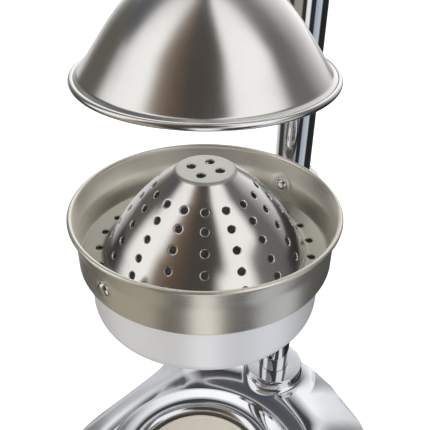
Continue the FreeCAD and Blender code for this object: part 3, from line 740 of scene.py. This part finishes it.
def block_points(x0, x1, y0, y1, z0, z1):
    points = [Vector((x, y, z)) for z in (z0, z1) for x, y in ((x0, y0), (x1, y0), (x1, y1), (x0, y1))]
    faces = [[0, 3, 2, 1], [4, 5, 6, 7], [0, 1, 5, 4], [1, 2, 6, 5], [2, 3, 7, 6], [3, 0, 4, 7]]
    return points, faces


def melted(name, parts, voxel, passes, material, body):
    """Joins overlapping solids into one rounded casting."""
    points, faces = join(parts)
    mesh = mesh_from(name, points, faces)
    rough = bpy.data.objects.new(name, mesh)
    bpy.context.scene.collection.objects.link(rough)
    remesh = rough.modifiers.new("melt", "REMESH")
    remesh.mode = "VOXEL"
    remesh.voxel_size = voxel * MM
    soften = rough.modifiers.new("soften", "SMOOTH")
    soften.factor = 0.5
    soften.iterations = passes
    graph = bpy.context.evaluated_depsgraph_get()
    final = bpy.data.meshes.new_from_object(rough.evaluated_get(graph))
    bpy.data.objects.remove(rough)
    bpy.data.meshes.remove(mesh)
    final.name = name
    return new_object(name, final, material, body, sharp=60)


# ---------------------------------------------------------------- base

RECESS_R = 51.0
CREST_R = 60.0
CREST_Z = 27.5
RING_INNER_DROP = 5.5     # from the ring's crest to the pad's recess
RING_OUTER_DROP = 11.5    # and to the groove round it
GROOVE_R = 77.5
GROOVE_DEPTH = 5.0
GROOVE_WIDTH = 13.0
NECK_R = 23.5             # the hub just under the collar
NECK_EDGE = 2.5           # rounding of its shoulder
FLARE_R = 39.0            # where the hub's hollow flare meets the base
FLARE_Z = 16.5
BASE_TOP_Z = 21.0
ROOF_Z = 6.6              # the underside inside the rim
RIM_WIDTH = 10.0
EDGE_Z = 5.2              # the legs' height at their outline
LEG_REACH = 44.0          # how far in they reach their full height
LEG_HOLD = 16.0           # how far in the smoothing starts
LEG_PASSES = 260
BASE_ROWS = 130
PLAN_HALF = [(34.0, 144.0, 100.0), (96.5, 107.0, 28.0), (95.0, 62.0, 150.0), (108.7, -15.0, 150.0),
             (108.7, -97.0, 42.0)]
FOOT_SPOTS = [(88.0, -68.0), (-88.0, -68.0), (72.0, 84.0), (-72.0, 84.0)]


def base_outline():
    left = [(-x, y, r) for x, y, r in reversed(PLAN_HALF)]
    return fill_runs(round_path(PLAN_HALF + left, closed=True, turn=2.0), 1.2, closed=True)


def soft_max(a, b, k):
    """The greater of two heights, blended where they are within k of each other."""
    h = np.maximum(k - np.abs(a - b), 0.0) / k
    return np.maximum(a, b) + h * h * k * 0.25


def edge_distance(places, outline):
    """Distance from each place to the closed outline."""
    a = np.array([p[:] for p in outline])
    b = np.roll(a, -1, axis=0) - a
    length = (b * b).sum(1)
    out = np.empty(len(places))
    for i in range(0, len(places), 4000):
        p = places[i:i + 4000, None, :] - a[None]
        t = np.clip((p * b[None]).sum(2) / length[None], 0, 1)
        d = p - t[..., None] * b[None]
        out[i:i + 4000] = np.sqrt((d * d).sum(2).min(1))
    return out


def ring_height(reach):
    """The rounded ring round the pad."""
    inner = np.clip((CREST_R - reach) / (CREST_R - RECESS_R + 0.3), 0, 1)
    outer = np.clip((reach - CREST_R) / (GROOVE_R - CREST_R + 1.0), 0, 1)
    drop = np.where(reach < CREST_R, RING_INNER_DROP * (1 - np.sqrt(1 - inner * inner)),
                    RING_OUTER_DROP * (1 - np.sqrt(1 - outer * outer)))
    return CREST_Z - drop - np.maximum(reach - GROOVE_R, 0)


def hub_height(reach):
    """The hub under the column: a rounded shoulder, then a hollow flare into the base."""
    shoulder = np.clip((reach - NECK_R + NECK_EDGE) / NECK_EDGE, 0, 1)
    cap = HUB_TOP_Z - NECK_EDGE * (1 - np.sqrt(1 - shoulder * shoulder))
    hollow = np.clip((FLARE_R - reach) / (FLARE_R - NECK_R + 0.1), 0, 1)
    flare = FLARE_Z + (HUB_TOP_Z - NECK_EDGE - FLARE_Z) * (1 - np.sqrt(1 - hollow * hollow))
    return np.where(reach < NECK_R, cap, flare - 0.6 * np.maximum(reach - FLARE_R, 0))


def leg_height(edge):
    """Height of the rounded legs, edge millimetres inside the outline, with no ridges where corners meet."""
    u = np.minimum(edge / LEG_REACH, 1.0)
    dome = (EDGE_Z + (BASE_TOP_Z - EDGE_Z) * np.sin(u * math.pi / 2)).reshape(BASE_ROWS + 1, -1)
    hold = np.clip(edge.reshape(BASE_ROWS + 1, -1) / LEG_HOLD - 0.4, 0, 1)
    for _ in range(LEG_PASSES):
        across = (np.roll(dome, 1, 1) + np.roll(dome, -1, 1)) / 2
        along = dome.copy()
        along[1:-1] = (dome[2:] + dome[:-2]) / 2
        dome = dome + hold * 0.5 * ((across + along) / 2 - dome)
    return dome.reshape(-1)


def base_height(x, y, dome, edge):
    """Height of the casting's top, from the height of its legs and the distance in from the outline."""
    pad_reach = np.hypot(x, y - PAD_Y)
    hub_reach = np.hypot(x - COLUMN_X, y - COLUMN_Y)
    hub = hub_height(hub_reach)
    body = soft_max(dome, np.minimum(hub, dome + np.minimum(edge * 1.1, 12.0)), 3.0)
    depth = GROOVE_DEPTH * np.minimum(edge / 26.0, 1.0)
    body = body - depth * np.exp(-((pad_reach - GROOVE_R) / GROOVE_WIDTH) ** 2)
    return soft_max(body, ring_height(pad_reach), 0.5)


def inward_normals(outline):
    """Unit directions from each point of the base's outline into the base."""
    count = len(outline)
    along = [(outline[i - 1] - outline[(i + 1) % count]).normalized() for i in range(count)]
    inward = [Vector((-d.y, d.x)) for d in along]
    centre = Vector((0, PAD_Y))
    if (outline[0] + inward[0] - centre).length > (outline[0] - centre).length:
        inward = [-d for d in inward]
    return inward


def base_bosses():
    """The rings under the base that hold the feet's screws and the tie rod."""
    under = BASE_BOTTOM_Z
    roof = ROOF_Z + 0.2
    foot = round_path([(6.1, under, 0), (13.0, under, 1), (13.0, roof, 0), (6.1, roof, 0)], True)
    bosses = [turned(foot, 64, at(x, y)) for x, y in FOOT_SPOTS]
    roof = ROOF_Z + 0.4
    hub = round_path([(14, under, 0), (28, under, 1), (28, roof, 0), (14, roof, 0)], True)
    return bosses + [turned(hub, 96, at(COLUMN_X, COLUMN_Y))]


def base():
    outline = base_outline()
    count = len(outline)
    inward = inward_normals(outline)
    centre = Vector((0, PAD_Y))
    toward = [(p - centre).normalized() for p in outline]
    inner = [centre + d * RECESS_R for d in toward]
    grid = np.array([p.lerp(q, k / BASE_ROWS)[:]
                     for k in range(BASE_ROWS + 1) for p, q in zip(outline, inner)])
    edge = edge_distance(grid, outline)
    heights = base_height(grid[:, 0], grid[:, 1], leg_height(edge), edge)
    sides = [(RIM_WIDTH, ROOF_Z), (RIM_WIDTH, BASE_BOTTOM_Z), (3.0, BASE_BOTTOM_Z), (1.0, BASE_BOTTOM_Z),
             (0.3, BASE_BOTTOM_Z + 0.4), (0.0, BASE_BOTTOM_Z + 1.1)]
    rows = [[(p.x + d.x * inset, p.y + d.y * inset, z) for p, d in zip(outline, inward)]
            for inset, z in sides]
    for start in range(0, len(grid), count):
        rows.append([(*grid[start + i], heights[start + i]) for i in range(count)])
    edge_z = float(heights[BASE_ROWS * count])
    recess = [(RECESS_R - 0.1, edge_z - 0.5), (RECESS_R - 0.2, edge_z - 1.5), (RECESS_R - 0.2, PAD_FLOOR_Z)]
    for reach, z in recess:
        rows.append([(centre.x + d.x * reach, centre.y + d.y * reach, z) for d in toward])
    faces = []
    for a in range(0, (len(rows) - 1) * count, count):
        for k in range(count):
            n = (k + 1) % count
            faces.append([a + k, a + n, a + count + n, a + count + k])
    faces.append(list(range(count)))
    faces.append([(len(rows) - 1) * count + k for k in range(count)])
    shell = ([Vector(p) for row in rows for p in row], faces)
    points, faces = join([shell] + base_bosses())
    mesh = mesh_from("base_shell", points, faces)
    obj = new_object("base_shell", mesh, CHROME, "frame", sharp=50)
    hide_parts("base_casting")


def glass_pad():
    """The pad, with a low lip round its edge."""
    edge = PAD_R - 0.1
    top = PAD_TOP_Z
    sunk = top - 0.35
    corners = [(0, PAD_FLOOR_Z, 0), (edge, PAD_FLOOR_Z, 0.5), (edge, top, 1.5), (PAD_R - 3.0, top, 0.6),
               (PAD_R - 3.3, sunk, 0.6), (0, sunk, 0)]
    pad = lathe("pad_disc", corners, PAD_CREAM, "frame", at(0, PAD_Y))
    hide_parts("glass_pad")


# ---------------------------------------------------------------- column and collar

def column():
    lowest = low("column_tube").z
    highest = high("column_tube").z
    place = at(COLUMN_X, COLUMN_Y)
    bore = COLUMN_R - 2
    tube = lathe("column_shell", [(bore, lowest, 0.3), (COLUMN_R, lowest, 0.4), (COLUMN_R, highest, 0.4),
                                  (bore, highest, 0.3)],
                 CHROME_TUBE, "frame", place, 128)
    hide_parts("column_tube")
    bore = COLUMN_R + 0.1
    foot = HUB_TOP_Z + 0.05
    under = HUB_TOP_Z + 1
    edge = high("column_collar").x
    top = high("column_collar").z
    corners = [(bore, foot, 0), (edge - 3, foot, 0), (edge - 3, under, 0.2), (edge, under, 0.9),
               (edge, top, 0.9), (bore + 0.3, top, 0.2), (bore, top - 0.3, 0)]
    collar = lathe("collar_disc", corners, CHROME_TUBE, "frame", place)
    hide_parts("column_collar")


# ---------------------------------------------------------------- stage, camera and light

CAMERA_FROM_RIM = Vector((148.63, -219.52, 166.41))
VIEW_RIGHT = Vector((0.83525, 0.54976, 0.01081))
VIEW_UP = Vector((-0.30935, 0.45357, 0.83581))
VIEW_BACK = Vector((0.45459, -0.70145, 0.54891))
CAMERA_TURN = math.radians(34.1)
LENS = 47.56


def camera():
    data = bpy.data.cameras.new("camera")
    data.sensor_width = 36.0
    data.lens = LENS
    data.clip_start = 0.01
    data.clip_end = 20.0
    obj = bpy.data.objects.new("camera", data)
    place = Matrix((VIEW_RIGHT, VIEW_UP, VIEW_BACK)).transposed().to_4x4()
    place.translation = (Vector((0, 0, RIM_Z)) + CAMERA_FROM_RIM) * MM
    obj.matrix_world = place
    bpy.context.scene.collection.objects.link(obj)
    bpy.context.scene.camera = obj


def bearing(n, direction):
    """The bearing of a direction about Z, and its height.

    A bearing of 0.5 is towards CAMERA_TURN, a fixed side of the room; more than that is to the right of it.
    """
    split = n.node("SeparateXYZ")
    n.link(direction, split.inputs[0])
    x, y = split.outputs[0], split.outputs[1]
    sine = math.sin(CAMERA_TURN)
    cosine = math.cos(CAMERA_TURN)
    toward = n.math("ADD", n.math("MULTIPLY", x, sine), n.math("MULTIPLY", y, -cosine))
    right = n.math("ADD", n.math("MULTIPLY", x, cosine), n.math("MULTIPLY", y, sine))
    angle = n.math("ARCTAN2", right, toward)
    return n.math("ADD", n.math("DIVIDE", angle, 2 * math.pi), 0.5), split.outputs[2]


def stops(levels):
    """Ramp stops from (bearing in degrees, colour)."""
    return [(angle / 360 + 0.5, colour if isinstance(colour, tuple) else (colour, colour, colour))
            for angle, colour in levels]


class WorldNodes(Nodes):
    """The same short names for the world's node tree."""

    def __init__(self, world):
        world.use_nodes = True
        self.tree = world.node_tree


# The room that the metal mirrors: bearings in degrees with the tone there, as flags and windows round a set.
SHADE_LEFT = (0.085, 0.088, 0.10)
OLIVE = (0.11, 0.105, 0.09)
BROWN = [(0.22, 0.17, 0.13), (0.13, 0.09, 0.065), (0.065, 0.058, 0.052)]
LOW_WALLS = [(-180, 1.10), (-164, 0.9), (-150, 0.30), (-138, OLIVE), (-112, OLIVE), (-100, 0.95), (-70, 1.0),
             (-58, BROWN[0]), (-44, BROWN[1]), (-20, BROWN[2]), (8, BROWN[2]), (20, 1.0), (52, 1.0),
             (64, 0.15), (108, 0.14), (126, 0.45), (150, 1.0), (180, 1.10)]
FRONT_WALLS = [(-128, SHADE_LEFT), (-107, SHADE_LEFT), (-95, 0.92), (-66, 1.0), (-54, BROWN[0]),
               (-40, BROWN[1]), (-20, BROWN[2]), (20, BROWN[2]), (32, 0.95), (76, 1.0), (88, 0.13),
               (108, 0.14), (122, 0.42)]
MIDDLE_WALLS = [(-180, 1.10), (-164, 0.9), (-146, 0.35), *FRONT_WALLS, (150, 1.0), (180, 1.10)]
HIGH_WALLS = [(-180, 0.05), (-170, 0.10), (-158, 0.60), (-150, 0.12), *FRONT_WALLS,
              (136, 0.80), (148, 0.55), (164, 0.07), (180, 0.05)]
TABLE = [(-180, 0.75), (-144, 0.70), (-128, 0.05), (-98, 0.05), (-88, (0.34, 0.32, 0.26)),
         (-42, (0.40, 0.37, 0.31)), (-33, 0.04), (-15, 0.03), (-9, 1.0), (9, 1.0), (15, 0.03),
         (38, (0.03, 0.03, 0.05)), (44, (0.45, 0.48, 0.54)), (76, (0.62, 0.66, 0.72)), (84, 0.02),
         (146, 0.03), (158, 0.75), (180, 0.75)]
# The heights between which each tone of wall gives way to the next one up.
LEVELS = [(0.40, 0.47), (0.66, 0.84), (0.994, 1.0)]
OVERHEAD = (0.3, 0.3, 0.3, 1)
FILL_TARGET = Vector((0, 0, 0.22))


def studio():
    """A white room to the camera; the metal mirrors its toned walls."""
    world = bpy.data.worlds.new("studio")
    bpy.context.scene.world = world
    n = WorldNodes(world)
    around, upward = bearing(n, n.node("TexCoord").outputs["Generated"])
    colour = n.ramp(around, stops(LOW_WALLS))
    above = [n.ramp(around, stops(MIDDLE_WALLS)), n.ramp(around, stops(HIGH_WALLS)), OVERHEAD]
    for (start, end), higher in zip(LEVELS, above):
        colour = n.mixed(n.grey_range(upward, 0.0, 1.0, start, end), colour, higher)
    seen = n.node("LightPath").outputs["Is Camera Ray"]
    white = n.node("Background")
    white.inputs["Color"].default_value = (1, 1, 1, 1)
    lit = n.tree.nodes["Background"]
    n.link(colour, lit.inputs["Color"])
    lit.inputs["Strength"].default_value = 1.15
    pick = n.node("MixShader")
    n.link(seen, pick.inputs[0])
    n.link(lit.outputs[0], pick.inputs[1])
    n.link(white.outputs[0], pick.inputs[2])
    n.link(pick.outputs[0], n.tree.nodes["World Output"].inputs["Surface"])


def floor():
    """A plain white table. What the metal mirrors of it is toned by bearing, as flags round a set do."""
    mesh = bpy.data.meshes.new("floor")
    shape = bmesh.new()
    bmesh.ops.create_circle(shape, cap_ends=True, segments=96, radius=6.0)
    shape.to_mesh(mesh)
    shape.free()
    n = Nodes("floor_white")
    around = bearing(n, n.object_coords())[0]
    tones = n.ramp(around, stops(TABLE))
    n.set(Base_Color=(0.9, 0.9, 0.9, 1), Roughness=0.9, Emission_Color=(1, 1, 1, 1), Emission_Strength=0.62)
    toned = n.node("Emission")
    n.link(tones, toned.inputs["Color"])
    pick = n.node("MixShader")
    n.link(n.node("LightPath").outputs["Is Camera Ray"], pick.inputs[0])
    n.link(toned.outputs[0], pick.inputs[1])
    n.link(n.shader.outputs[0], pick.inputs[2])
    n.link(pick.outputs[0], n.tree.nodes["Material Output"].inputs["Surface"])
    mesh.materials.append(n.material)
    obj = bpy.data.objects.new("floor", mesh)
    bpy.context.scene.collection.objects.link(obj)


def fill(name, place, size, power):
    """A large soft light that isn't mirrored in the metal."""
    data = bpy.data.lights.new(name, "AREA")
    data.shape = "RECTANGLE"
    data.size, data.size_y = size
    data.energy = power
    obj = bpy.data.objects.new(name, data)
    obj.location = place
    obj.rotation_mode = "QUATERNION"
    obj.rotation_quaternion = (FILL_TARGET - Vector(place)).to_track_quat("-Z", "Y")
    obj.visible_camera = False
    obj.visible_glossy = False
    bpy.context.scene.collection.objects.link(obj)


# ---------------------------------------------------------------- the CAD nodes that stay

NODE_LOOKS = {
    RUBBER: ["rubber_feet"],
    ZINC: ["foot_screws", "tie_rod_washer", "tie_rod_nut", "holder_clamp_screws", "head_cover_screws",
           "head_set_screws", "lever_set_screw", "shaft_retaining_ring", "shaft_key"],
    STEEL: ["column_tie_rod", "rack_bar", "pinion_gear", "pinion_shaft", "rack_stop_collar"],
    CHROME_TUBE: ["column_cap_nut", "press_boss", "press_nut", "lever_arm"],
    HEAD_METAL: ["head_housing", "head_cover", "lever_hub"],
    BRONZE: ["rack_bush_lower", "rack_bush_upper", "shaft_bush_right", "shaft_bush_left"],
    GRIP_BLACK: ["lever_grip"],
}


def dress_nodes():
    for material, names in NODE_LOOKS.items():
        for name in names:
            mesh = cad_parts[name].data
            mesh.materials.clear()
            mesh.materials.append(material)


strainer()
basket()
press_cone()
cup()
cup_arm()
base()
glass_pad()
column()
dress_nodes()
camera()
studio()
floor()
fill("front_fill", (0.9, -1.4, 0.75), (1.2, 0.9), 16.0)
fill("left_fill", (-1.3, -0.6, 0.9), (0.9, 0.9), 9.0)
bpy.context.scene.view_settings.view_transform = "Standard"
